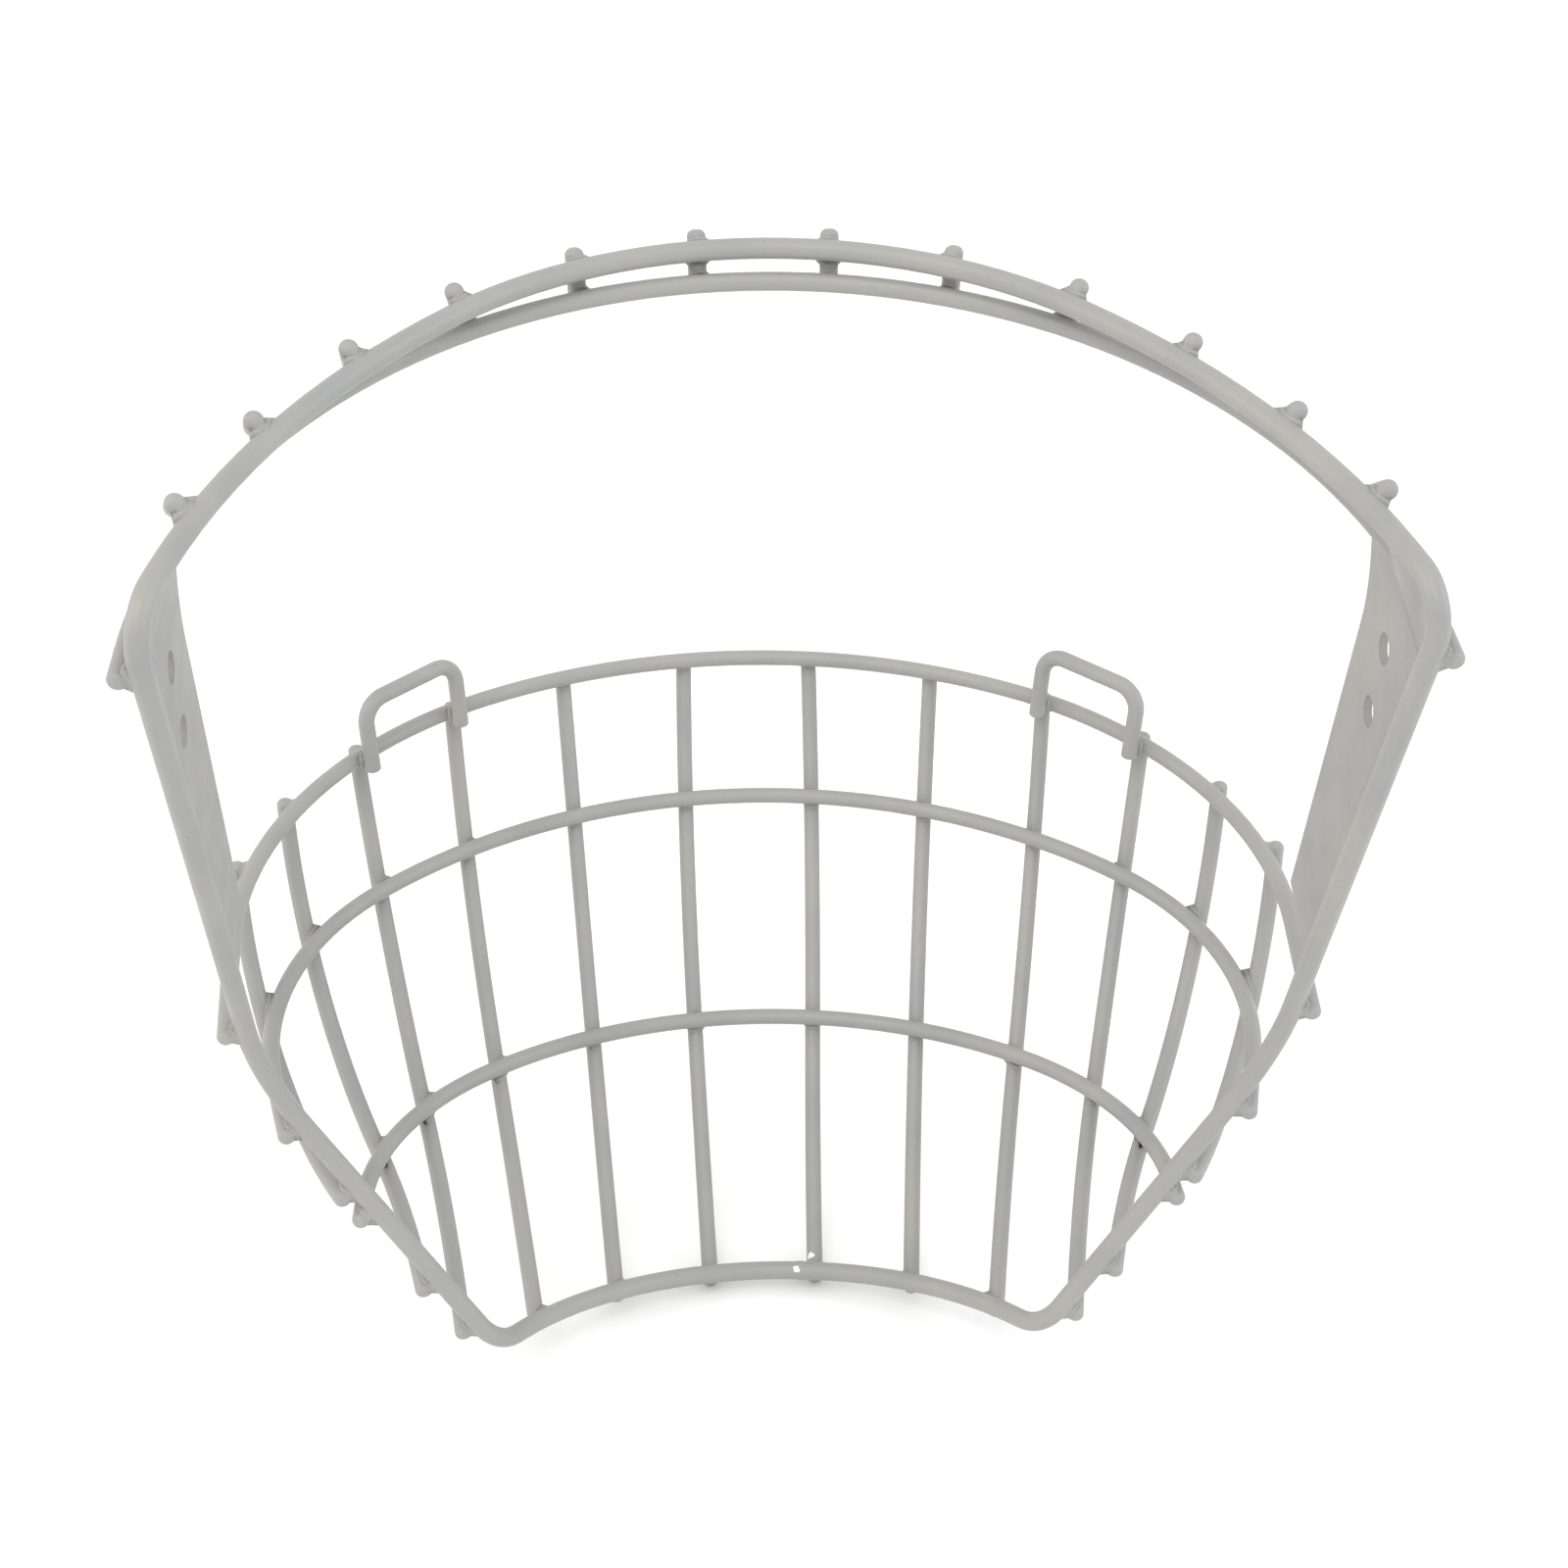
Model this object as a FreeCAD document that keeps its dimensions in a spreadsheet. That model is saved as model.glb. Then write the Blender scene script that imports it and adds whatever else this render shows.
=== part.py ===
import FreeCAD, Part
import math
import os
import Sketcher

# A welded wire face cage for an ice hockey goalkeeper's mask, in millimetres.
# X runs across the face and X = 0 is the plane of symmetry, -Y is the front and +Z is up.
# "Front" sizes are measured towards -Y and "height" sizes towards +Z.  Angles are in degrees.
# A station is a distance along a wire from where it crosses the plane of symmetry.
# Bars, struts, loops and side plates touch the wires they are welded to and never run into them.

DIMENSIONS = [
    ("perimeter_wire_dia", 3.8, "coated thickness of the perimeter wire"),
    ("grid_wire_dia", 3.4, "coated thickness of every other wire"),
    ("weld_gap", 0.12, "clearance left where two welded wires touch"),
    ("end_round", 1.3, "rounding of a free wire end"),
    ("box_centre_front", -1.37, "front of the cage's middle, which is the origin"),
    ("box_centre_height", -6.9, "height of the cage's middle, which is the origin"),
    ("inside_front", -41.0, "front of the upright line that the wires bend round"),

    ("brow_front", 19.5, "perimeter: front of the brow arc"),
    ("brow_height", 100.5, "perimeter: height of the brow arc"),
    ("brow_tilt", 11.0, "perimeter: upward tilt of the brow arc's plane"),
    ("brow_radius", 76.5, "perimeter: radius of the brow arc"),
    ("brow_half_angle", 45.5, "perimeter: half the brow arc's angle"),
    ("brow_side_radius", 152.5, "perimeter: radius of the flatter side arc"),
    ("brow_side_angle", 31.5, "perimeter: angle of the flatter side arc"),
    ("brow_straight", 14.0, "perimeter: from the side arc to the temple corner"),
    ("temple_bend", 8.0, "perimeter: bend radius of the temple corner"),
    ("jaw_half_width", 96.0, "perimeter: half width at the jaw bend"),
    ("jaw_front", -38.0, "perimeter: front of the jaw bend"),
    ("jaw_height", -38.5, "perimeter: height of the jaw bend"),
    ("jaw_bend", 39.0, "perimeter: bend radius at the jaw"),
    ("chin_front", -12.0, "perimeter: front of the chin arc"),
    ("chin_height", -112.5, "perimeter: height of the chin arc"),
    ("chin_tilt", -18.5, "perimeter: tilt of the chin arc's plane"),
    ("chin_radius", 59.5, "perimeter: radius of the chin arc"),
    ("chin_half_angle", 56.5, "perimeter: half the chin arc's angle"),
    ("chin_straight", 8.5, "perimeter: from the chin arc to the chin corner"),
    ("chin_bend", 10.0, "perimeter: bend radius of the chin corner"),

    ("second_front", 17.5, "second wire: front of its middle"),
    ("second_height", 95.0, "second wire: height of its middle"),
    ("second_tilt", 15.0, "second wire: upward tilt of its plane"),
    ("second_radius", 99.5, "second wire: radius of the middle arc"),
    ("second_half_angle", 43.5, "second wire: half the middle arc's angle"),
    ("second_side_radius", 103.9, "second wire: radius of the side arc"),
    ("second_side_angle", 44.0, "second wire: angle of the side arc"),
    ("second_leg", 7.3, "second wire: length of the straight leg"),

    ("rim_front", 79.5, "rim wire under the eye opening: front of its middle"),
    ("rim_height", -13.0, "rim wire: height of its middle"),
    ("rim_tilt", 5.5, "rim wire: upward tilt of its plane"),
    ("rim_radius", 118.5, "rim wire: radius of the middle arc"),
    ("rim_half_angle", 29.0, "rim wire: half the middle arc's angle"),
    ("rim_side_radius", 87.16, "rim wire: radius of the side arc"),
    ("rim_side_angle", 66.0, "rim wire: angle of the side arc"),
    ("rim_leg", 27.4, "rim wire: length of the straight leg"),

    ("middle_front", 63.5, "middle wire: front of its middle"),
    ("middle_height", -39.5, "middle wire: height of its middle"),
    ("middle_tilt", 6.5, "middle wire: upward tilt of its plane"),
    ("middle_radius", 116.0, "middle wire: radius of the middle arc"),
    ("middle_half_angle", 43.0, "middle wire: half the middle arc's angle"),
    ("middle_side_radius", 58.38, "middle wire: radius of the side arc"),
    ("middle_side_angle", 61.5, "middle wire: angle of the side arc"),
    ("middle_leg", 17.8, "middle wire: length of the straight leg"),

    ("lower_front", 33.0, "lower wire: front of its middle"),
    ("lower_height", -78.5, "lower wire: height of its middle"),
    ("lower_tilt", -6.0, "lower wire: upward tilt of its plane"),
    ("lower_radius", 88.5, "lower wire: radius of the middle arc"),
    ("lower_half_angle", 40.5, "lower wire: half the middle arc's angle"),
    ("lower_side_radius", 62.02, "lower wire: radius of the side arc"),
    ("lower_side_angle", 50.5, "lower wire: angle of the side arc"),
    ("lower_leg", 7.2, "lower wire: length of the straight leg"),

    ("bar_top_stub", 1.7, "grid bar: from the rim wire to its upper end"),
    ("bar_chin_stub", 1.6, "grid bar: from the chin arc to its lower end"),
    ("bar_jaw_stub", 1.5, "grid bar: from the jaw run to its lower end"),
    ("strut_low_stub", 1.6, "strut: from the second wire to its lower end"),

    ("loop_station", 81.2, "loop: station of its middle on the rim wire"),
    ("loop_width", 24.0, "loop: distance between its legs"),
    ("loop_height", 14.0, "loop: from the rim wire up to its top bar"),
    ("loop_tail", 2.0, "loop: from the rim wire down to the leg ends"),
    ("loop_bend", 5.0, "loop: bend radius of its corners"),
    ("loop_gap", 0.1, "loop: clearance between its legs and the curved rim wire"),

    ("plate_thick", 1.5, "side plate: thickness"),
    ("plate_offset", 0.9, "side plate: inner face outside the perimeter wire's axis"),
    ("plate_rear", 1.7, "side plate: rear edge in front of the perimeter wire's axis"),
    ("plate_low", 26.0, "side plate: lower edge above the jaw bend"),
    ("plate_low_width", 21.0, "side plate: front end of the lower edge"),
    ("plate_flare_low", 90.0, "side plate: start of the flare above the jaw bend"),
    ("plate_flare_width", 30.0, "side plate: start of the flare in front of the axis"),
    ("plate_flare_radius", 23.0, "side plate: radius of the hollow flare"),
    ("plate_high_front", 104.5, "side plate: upper front corner above the jaw bend"),
    ("plate_high_width", 38.5, "side plate: upper front corner in front of the axis"),
    ("plate_cut_high", 110.0, "side plate: cut-off corner above the jaw bend"),
    ("plate_cut_width", 29.0, "side plate: cut-off corner in front of the axis"),
    ("plate_high", 112.2, "side plate: upper end of the rear edge above the jaw bend"),
    ("plate_hole_dia", 5.5, "side plate: diameter of the screw holes"),
    ("plate_hole_low", 83.6, "side plate: lower hole above the jaw bend"),
    ("plate_hole_low_front", 15.4, "side plate: lower hole in front of the axis"),
    ("plate_hole_high", 96.6, "side plate: upper hole above the jaw bend"),
    ("plate_hole_high_front", 18.0, "side plate: upper hole in front of the axis"),
]

# Stations of the grid bars on each wire, counted from the middle of the cage outwards.
BAR_STATIONS = {
    "rim": [13.8, 41.0, 67.0, 91.7, 114.3, 136.2],
    "middle": [13.9, 39.0, 64.3, 86.1, 106.9, 129.8],
    "lower": [12.8, 35.5, 58.5, 78.7, 95.8],
    "chin": [10.7, 31.0, 51.0, 72.4, 85.4, 111.5],
}
# Stations of the short struts on the brow arc and on the second wire.
STRUT_STATIONS = {
    "brow": [11.6, 33.5, 57.2, 82.6, 107.8, 131.9],
    "second": [11.6, 33.2, 54.6, 77.6, 100.6, 123.2],
}
# How far each strut stands up past the brow arc.
STRUT_TOPS = [4.0, 3.0, 2.3, 1.8, 1.7, 1.7]
# How many of the bars stand on the chin arc; the others pass the jaw run.
BARS_ON_CHIN = 3

SIDES = (("left", 1), ("right", -1))
UP = FreeCAD.Vector(0, 0, 1)
ACROSS = FreeCAD.Vector(1, 0, 0)
ORIGIN = FreeCAD.Vector(0, 0, 0)

doc = FreeCAD.newDocument("goalie_cage")


def make_sheet():
    sheet = doc.addObject("Spreadsheet::Sheet", "dims")
    rows = list(DIMENSIONS)
    for wire, stations in list(BAR_STATIONS.items()) + list(STRUT_STATIONS.items()):
        for number, station in enumerate(stations, 1):
            rows.append((station_name(wire, number), station, "station %d on the %s wire" % (number, wire)))
    for number, top in enumerate(STRUT_TOPS, 1):
        meaning = "strut %d: from the brow arc to its upper end" % number
        rows.append((station_name("strut_top", number), top, meaning))
    for row, (alias, value, meaning) in enumerate(rows, 1):
        sheet.set("A%d" % row, alias)
        sheet.set("B%d" % row, str(value))
        sheet.set("C%d" % row, meaning)
        sheet.setAlias("B%d" % row, alias)
    doc.recompute()
    return sheet


def station_name(wire, number):
    return "%s_station_%s" % (wire, "abcdef"[number - 1])


def size(alias):
    return float(sheet.get(alias))


def radians(alias):
    return math.radians(size(alias))


def place(front, height, across=0.0):
    """Point of the cage frame from its front and height sizes."""
    return FreeCAD.Vector(across, size("box_centre_front") - front, height - size("box_centre_height"))


# ---- wire axes -------------------------------------------------------------------------------

def arc_edge(centre, start, normal, angle):
    """Arc about centre from start, turned about normal by an angle in radians."""
    def turned(by):
        return centre + FreeCAD.Rotation(normal, math.degrees(by)).multVec(start - centre)
    return Part.Arc(start, turned(angle / 2), turned(angle)).toShape()


def planar_axis(start, tilt, arcs, straight):
    """Half of a symmetric bent wire: arcs of (radius, angle) in a tilted plane, then a straight."""
    normal = FreeCAD.Rotation(ACROSS, -math.degrees(tilt)).multVec(UP)
    back = normal.cross(ACROSS)
    point = start
    turn = 0.0
    edges = []
    for radius, angle in arcs:
        centre = point + (back * math.cos(turn) - ACROSS * math.sin(turn)) * radius
        edges.append(arc_edge(centre, point, normal, angle))
        point = edges[-1].valueAt(edges[-1].LastParameter)
        turn += angle
    heading = ACROSS * math.cos(turn) + back * math.sin(turn)
    end = point + heading * straight
    edges.append(Part.LineSegment(point, end).toShape())
    return edges


def u_axis(key):
    """Half axis of one of the U-shaped wires."""
    arcs = [(size(key + "_radius"), radians(key + "_half_angle")),
            (size(key + "_side_radius"), radians(key + "_side_angle"))]
    start = place(size(key + "_front"), size(key + "_height"))
    return planar_axis(start, radians(key + "_tilt"), arcs, size(key + "_leg"))


def corner(before, node, after, radius):
    """Tangent arc that rounds the corner at node; returns start, arc edge and end."""
    back = (before - node).normalize()
    ahead = (after - node).normalize()
    half = back.getAngle(ahead) / 2
    reach = radius / math.tan(half)
    start = node + back * reach
    end = node + ahead * reach
    centre = node + (back + ahead).normalize() * (radius / math.sin(half))
    middle = centre + (node - centre).normalize() * radius
    return start, Part.Arc(start, middle, end).toShape(), end


def line(start, end):
    return Part.LineSegment(start, end).toShape()


def perimeter_axis():
    """Half axis of the closed perimeter wire, from the brow's middle to the chin's middle."""
    brow_arcs = [(size("brow_radius"), radians("brow_half_angle")),
                 (size("brow_side_radius"), radians("brow_side_angle"))]
    brow = planar_axis(place(size("brow_front"), size("brow_height")),
                       radians("brow_tilt"), brow_arcs, size("brow_straight"))
    chin = planar_axis(place(size("chin_front"), size("chin_height")), radians("chin_tilt"),
                       [(size("chin_radius"), radians("chin_half_angle"))], size("chin_straight"))
    brow_end = brow.pop()
    chin_end = chin.pop()
    brow_start = brow_end.valueAt(brow_end.FirstParameter)
    temple = brow_end.valueAt(brow_end.LastParameter)
    chin_start = chin_end.valueAt(chin_end.FirstParameter)
    chin_corner = chin_end.valueAt(chin_end.LastParameter)
    jaw = place(size("jaw_front"), size("jaw_height"), size("jaw_half_width"))
    bends = [corner(brow_start, temple, jaw, size("temple_bend")),
             corner(temple, jaw, chin_corner, size("jaw_bend")),
             corner(jaw, chin_corner, chin_start, size("chin_bend"))]
    edges = list(brow)
    point = brow_start
    for start, bend, end in bends:
        edges += [line(point, start), bend]
        point = end
    edges.append(line(point, chin_start))
    edges += [arc.reversed() for arc in reversed(chin)]
    return edges, temple, jaw


def station_at(edges, station):
    """Point and direction at a distance along an axis that starts at its first edge."""
    left = station
    for edge in edges:
        if left <= edge.Length or edge is edges[-1]:
            along = edge.Length - left if edge.Orientation == "Reversed" else left
            parameter = edge.getParameterByLength(along)
            return edge.valueAt(parameter), edge.tangentAt(parameter)
        left -= edge.Length
    return None


# ---- shapes swept along an axis ----------------------------------------------------------------

def sweep(edges, diameter):
    wire = Part.Wire(edges)
    start = edges[0].valueAt(edges[0].FirstParameter)
    heading = edges[0].tangentAt(edges[0].FirstParameter)
    ring = Part.Wire([Part.makeCircle(diameter / 2, start, heading)])
    return wire.makePipeShell([ring], True, False)


def round_ends(solid, ends, diameter):
    """Rounds the rim of each flat end face of a round wire."""
    rims = []
    for edge in solid.Edges:
        flat = edge.Closed and abs(edge.Length - math.pi * diameter) < 0.01
        if flat and min(edge.CenterOfMass.distanceToPoint(end) for end in ends) < 0.01:
            rims.append(edge)
    return solid.makeFillet(size("end_round"), rims)


def add_feature(name, solid, origin, side):
    """Part feature with its own origin; the right side is the mirror image of the left."""
    shift = FreeCAD.Matrix()
    shift.move(-origin)
    local = solid.copy()
    local.transformShape(shift, True)
    position = FreeCAD.Vector(origin)
    if side < 0:
        local = local.mirror(ORIGIN, ACROSS)
        position.x = -position.x
    feature = doc.addObject("Part::Feature", name)
    feature.Shape = local
    feature.Placement = FreeCAD.Placement(position, FreeCAD.Rotation())
    feature.Label = name
    return feature


def add_perimeter(edges):
    """Closed loop: the swept half and its mirror image, joined at the brow and the chin."""
    half = sweep(edges, size("perimeter_wire_dia"))
    solid = half.fuse(half.mirror(ORIGIN, ACROSS)).removeSplitter()
    if solid.ShapeType != "Solid":
        solid = solid.Solids[0]
    return add_feature("perimeter_wire", solid, ORIGIN, 1)


# ---- planar bent wires as bodies ---------------------------------------------------------------

def body_plane(body, role):
    for feature in body.Origin.OriginFeatures:
        if feature.Role == role:
            return feature
    return None


def add_sketch(body, name, role):
    sketch = body.newObject("Sketcher::SketchObject", name)
    sketch.AttachmentSupport = (body_plane(body, role), [""])
    sketch.MapMode = "FlatFace"
    return sketch


def bind(sketch, constraint, name, formula):
    index = sketch.addConstraint(constraint)
    sketch.renameConstraint(index, name)
    sketch.setExpression("Constraints." + name, formula)


def add_round_profile(body, name):
    sketch = add_sketch(body, name + "_profile", "YZ_Plane")
    sketch.addGeometry(Part.Circle(ORIGIN, UP, size("grid_wire_dia") / 2))
    sketch.addConstraint(Sketcher.Constraint("Coincident", 0, 3, -1, 1))
    bind(sketch, Sketcher.Constraint("Diameter", 0, size("grid_wire_dia")), "dia", "dims.grid_wire_dia")
    return sketch


def sweep_and_mirror(body, name, profile, spine):
    """Sweeps the profile along the half spine and mirrors it about the symmetry plane."""
    pipe = body.newObject("PartDesign::AdditivePipe", name + "_half")
    pipe.Profile = profile
    pipe.Spine = (spine, ["Edge1", "Edge2", "Edge3"])
    mirrored = body.newObject("PartDesign::Mirrored", name + "_both")
    mirrored.Originals = [pipe]
    mirrored.MirrorPlane = (body_plane(body, "YZ_Plane"), [""])
    body.Tip = mirrored
    doc.recompute()
    return mirrored


def add_end_rounding(body, name, base, end):
    """Rounds the two flat ends, found at the spine's end point and its mirror image."""
    names = []
    for number, edge in enumerate(base.Shape.Edges, 1):
        middle = edge.CenterOfMass
        away = FreeCAD.Vector(abs(middle.x), middle.y, middle.z).distanceToPoint(end)
        if edge.Closed and away < 0.05:
            names.append("Edge%d" % number)
    rounding = body.newObject("PartDesign::Fillet", name + "_ends")
    rounding.Base = (base, names)
    rounding.setExpression("Radius", "dims.end_round")
    body.Tip = rounding
    doc.recompute()


def add_u_wire(name, key):
    """U-shaped wire: middle arc, side arc and straight leg on each side."""
    body = doc.addObject("PartDesign::Body", name)
    spine = add_sketch(body, name + "_spine", "XY_Plane")
    radius = size(key + "_radius")
    half_angle = radians(key + "_half_angle")
    side_radius = size(key + "_side_radius")
    turn = half_angle + radians(key + "_side_angle")
    right = -math.pi / 2
    joint = FreeCAD.Vector(radius * math.sin(half_angle), radius * (1 - math.cos(half_angle)), 0)
    centre = joint + FreeCAD.Vector(-math.sin(half_angle), math.cos(half_angle), 0) * side_radius
    leg = centre + FreeCAD.Vector(math.sin(turn), -math.cos(turn), 0) * side_radius
    end = leg + FreeCAD.Vector(math.cos(turn), math.sin(turn), 0) * size(key + "_leg")
    middle_circle = Part.Circle(FreeCAD.Vector(0, radius, 0), UP, radius)
    side_circle = Part.Circle(centre, UP, side_radius)
    spine.addGeometry(Part.ArcOfCircle(middle_circle, right, right + half_angle))
    spine.addGeometry(Part.ArcOfCircle(side_circle, right + half_angle, right + turn))
    spine.addGeometry(Part.LineSegment(leg, end))
    spine.addConstraint(Sketcher.Constraint("Coincident", 0, 1, -1, 1))
    spine.addConstraint(Sketcher.Constraint("PointOnObject", 0, 3, -2))
    spine.addConstraint(Sketcher.Constraint("Tangent", 0, 2, 1, 1))
    spine.addConstraint(Sketcher.Constraint("Tangent", 1, 2, 2, 1))
    bind(spine, Sketcher.Constraint("Radius", 0, radius), "radius", "dims.%s_radius" % key)
    bind(spine, Sketcher.Constraint("Radius", 1, side_radius), "side", "dims.%s_side_radius" % key)
    bind(spine, Sketcher.Constraint("DistanceX", 0, 2, joint.x), "joint",
         "dims.%s_radius * sin(dims.%s_half_angle * 1 deg)" % (key, key))
    bind(spine, Sketcher.Constraint("Angle", 2, turn), "turn",
         "(dims.%s_half_angle + dims.%s_side_angle) * 1 deg" % (key, key))
    bind(spine, Sketcher.Constraint("Distance", 2, size(key + "_leg")), "leg", "dims.%s_leg" % key)
    doc.recompute()
    both = sweep_and_mirror(body, name, add_round_profile(body, name), spine)
    add_end_rounding(body, name, both, end)
    body.Placement = FreeCAD.Placement(ORIGIN, FreeCAD.Rotation(ACROSS, -size(key + "_tilt")))
    body.setExpression("Placement.Base.y", "dims.box_centre_front - dims.%s_front" % key)
    body.setExpression("Placement.Base.z", "dims.%s_height - dims.box_centre_height" % key)
    body.setExpression("Placement.Rotation.Angle", "-dims.%s_tilt * 1 deg" % key)
    body.Label = name
    return body


# ---- bars, struts and loops welded on the wires -------------------------------------------------

def touching(point, along, heading, distance, outwards=1):
    """Axis point of a wire that crosses another one at point, offset out of or into the cage."""
    normal = along.cross(heading).normalize()
    if normal.dot(point - place(size("inside_front"), point.z + size("box_centre_height"))) < 0:
        normal = -normal
    return point + normal * (distance * outwards)


def contact_distance(alias):
    return (size(alias) + size("grid_wire_dia")) / 2 + size("weld_gap")


def tangent_arc(start, heading, end):
    """Arc from start, leaving along heading, to end; a straight if they already line up."""
    chord = end - start
    sideways = chord - heading * chord.dot(heading)
    if sideways.Length < 0.01:
        return line(start, end)
    sideways.normalize()
    radius = chord.dot(chord) / (2 * chord.dot(sideways))
    centre = start + sideways * radius
    middle = centre + ((start + end) * 0.5 - centre).normalize() * radius
    return Part.Arc(start, middle, end).toShape()


def add_bar(number, side_name, side, axes):
    """Grid bar bowed over the wires, with a short straight stub at each end."""
    crossings = [(axes[wire], size(station_name(wire, number)), contact_distance("grid_wire_dia"))
                 for wire in ("rim", "middle", "lower") if number <= len(BAR_STATIONS[wire])]
    crossings.append((axes["chin"], size(station_name("chin", number)),
                      contact_distance("perimeter_wire_dia")))
    bare = [station_at(edges, station) for edges, station, distance in crossings]
    points = []
    for index, (point, along) in enumerate(bare):
        above = bare[max(index - 1, 0)][0]
        below = bare[min(index + 1, len(bare) - 1)][0]
        points.append(touching(point, along, (below - above).normalize(), crossings[index][2]))
    edges = [Part.Arc(*points[:3]).toShape()]
    if len(points) > 3:
        bow = edges[0]
        edges.append(tangent_arc(points[2], bow.tangentAt(bow.LastParameter), points[3]))
    return finish_straight_ends("grid_bar_%s_%d" % (side_name, number), edges, side,
                                size("bar_top_stub"), lower_stub(number))


def lower_stub(number):
    if number <= BARS_ON_CHIN:
        return size("bar_chin_stub")
    return size("bar_jaw_stub")


def add_strut(number, side_name, side, axes):
    """Short straight strut outside the brow arc and the second wire."""
    brow_point, brow_along = station_at(axes["brow"], size(station_name("brow", number)))
    low_point, low_along = station_at(axes["second"], size(station_name("second", number)))
    heading = (low_point - brow_point).normalize()
    for repeat in range(4):
        top = touching(brow_point, brow_along, heading, contact_distance("perimeter_wire_dia"))
        low = touching(low_point, low_along, heading, contact_distance("grid_wire_dia"))
        heading = (low - top).normalize()
    return finish_straight_ends("brow_strut_%s_%d" % (side_name, number), [line(top, low)], side,
                                size(station_name("strut_top", number)), size("strut_low_stub"))


def finish_straight_ends(name, edges, side, top_stub, low_stub):
    """Adds the straight stubs, sweeps the wire and rounds its two free ends."""
    first, last = edges[0], edges[-1]
    top = first.valueAt(first.FirstParameter)
    low = last.valueAt(last.LastParameter)
    top_end = top - first.tangentAt(first.FirstParameter) * top_stub
    low_end = low + last.tangentAt(last.LastParameter) * low_stub
    axis = [line(top_end, top)] + edges + [line(low, low_end)]
    solid = sweep(axis, size("grid_wire_dia"))
    solid = round_ends(solid, (top_end, low_end), size("grid_wire_dia"))
    return add_feature(name, solid, top, side)


def add_loop(side_name, side, rim):
    """U-shaped loop that stands on the inside of the rim wire."""
    name = "loop_" + side_name
    body = doc.addObject("PartDesign::Body", name)
    spine = add_sketch(body, name + "_spine", "XY_Plane")
    half = size("loop_width") / 2
    bend = size("loop_bend")
    drop = size("loop_height") + size("loop_tail")
    bend_circle = Part.Circle(FreeCAD.Vector(half - bend, -bend, 0), UP, bend)
    leg_end = FreeCAD.Vector(half, -drop, 0)
    spine.addGeometry(Part.LineSegment(ORIGIN, FreeCAD.Vector(half - bend, 0, 0)))
    spine.addGeometry(Part.ArcOfCircle(bend_circle, 0, math.pi / 2))
    spine.addGeometry(Part.LineSegment(FreeCAD.Vector(half, -bend, 0), leg_end))
    spine.addConstraint(Sketcher.Constraint("Coincident", 0, 1, -1, 1))
    spine.addConstraint(Sketcher.Constraint("Horizontal", 0))
    spine.addConstraint(Sketcher.Constraint("Tangent", 0, 2, 1, 2))
    spine.addConstraint(Sketcher.Constraint("Tangent", 1, 1, 2, 1))
    bind(spine, Sketcher.Constraint("Radius", 1, bend), "bend", "dims.loop_bend")
    bind(spine, Sketcher.Constraint("DistanceX", 2, 2, half), "half", "dims.loop_width / 2")
    bind(spine, Sketcher.Constraint("DistanceY", 2, 2, -drop), "drop",
         "-(dims.loop_height + dims.loop_tail)")
    spine.addConstraint(Sketcher.Constraint("Vertical", 2))
    doc.recompute()
    sweep_and_mirror(body, name, add_round_profile(body, name), spine)
    body.Placement = loop_placement(side, rim)
    body.Label = name
    return body


def loop_placement(side, rim):
    """Local X lies along the rim wire's chord between the legs and local Y points up."""
    distance = contact_distance("grid_wire_dia") + size("loop_gap")
    feet = []
    for offset in (-0.5, 0.5):
        point, along = station_at(rim, size("loop_station") + offset * size("loop_width"))
        feet.append(touching(point, along, UP, distance, -1))
    middle = (feet[0] + feet[1]) * 0.5
    chord = feet[1] - feet[0]
    middle.x *= side
    chord.x *= side
    up = UP - chord * (UP.dot(chord) / chord.dot(chord))
    rotation = FreeCAD.Rotation(chord * side, up, ORIGIN, "XYZ")
    return FreeCAD.Placement(middle + rotation.multVec(FreeCAD.Vector(0, size("loop_height"), 0)), rotation)


# ---- side plates ----------------------------------------------------------------------------------

def add_plate_outline(body, name):
    """Outline: local X runs up the perimeter's side run and local Y runs to the front."""
    corners = [("plate_low", "plate_rear"),
               ("plate_low", "plate_low_width"),
               ("plate_flare_low", "plate_flare_width"),
               ("plate_high_front", "plate_high_width"),
               ("plate_cut_high", "plate_cut_width"),
               ("plate_high", "plate_rear")]
    flare = 2
    points = [FreeCAD.Vector(size(high), size(front), 0) for high, front in corners]
    outline = add_sketch(body, name + "_outline", "XY_Plane")
    for index, point in enumerate(points):
        following = points[(index + 1) % len(points)]
        edge = flare_arc(point, following) if index == flare else Part.LineSegment(point, following)
        outline.addGeometry(edge)
    for index, (high, front) in enumerate(corners):
        outline.addConstraint(Sketcher.Constraint("Coincident", index, 1, (index - 1) % len(corners), 2))
        bind(outline, Sketcher.Constraint("DistanceX", -1, 1, index, 1, points[index].x),
             "high%d" % index, "dims." + high)
        bind(outline, Sketcher.Constraint("DistanceY", -1, 1, index, 1, points[index].y),
             "front%d" % index, "dims." + front)
    bind(outline, Sketcher.Constraint("Radius", flare, size("plate_flare_radius")),
         "flare", "dims.plate_flare_radius")
    doc.recompute()
    return outline


def flare_arc(start, end):
    """Hollow arc between two corners, its centre in front of the plate."""
    radius = size("plate_flare_radius")
    chord = end - start
    rise = math.sqrt(radius ** 2 - (chord.Length / 2) ** 2)
    centre = (start + end) * 0.5 + FreeCAD.Vector(-chord.y, chord.x, 0).normalize() * rise
    angles = [math.atan2(point.y - centre.y, point.x - centre.x) for point in (start, end)]
    return Part.ArcOfCircle(Part.Circle(centre, UP, radius), *angles)


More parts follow.
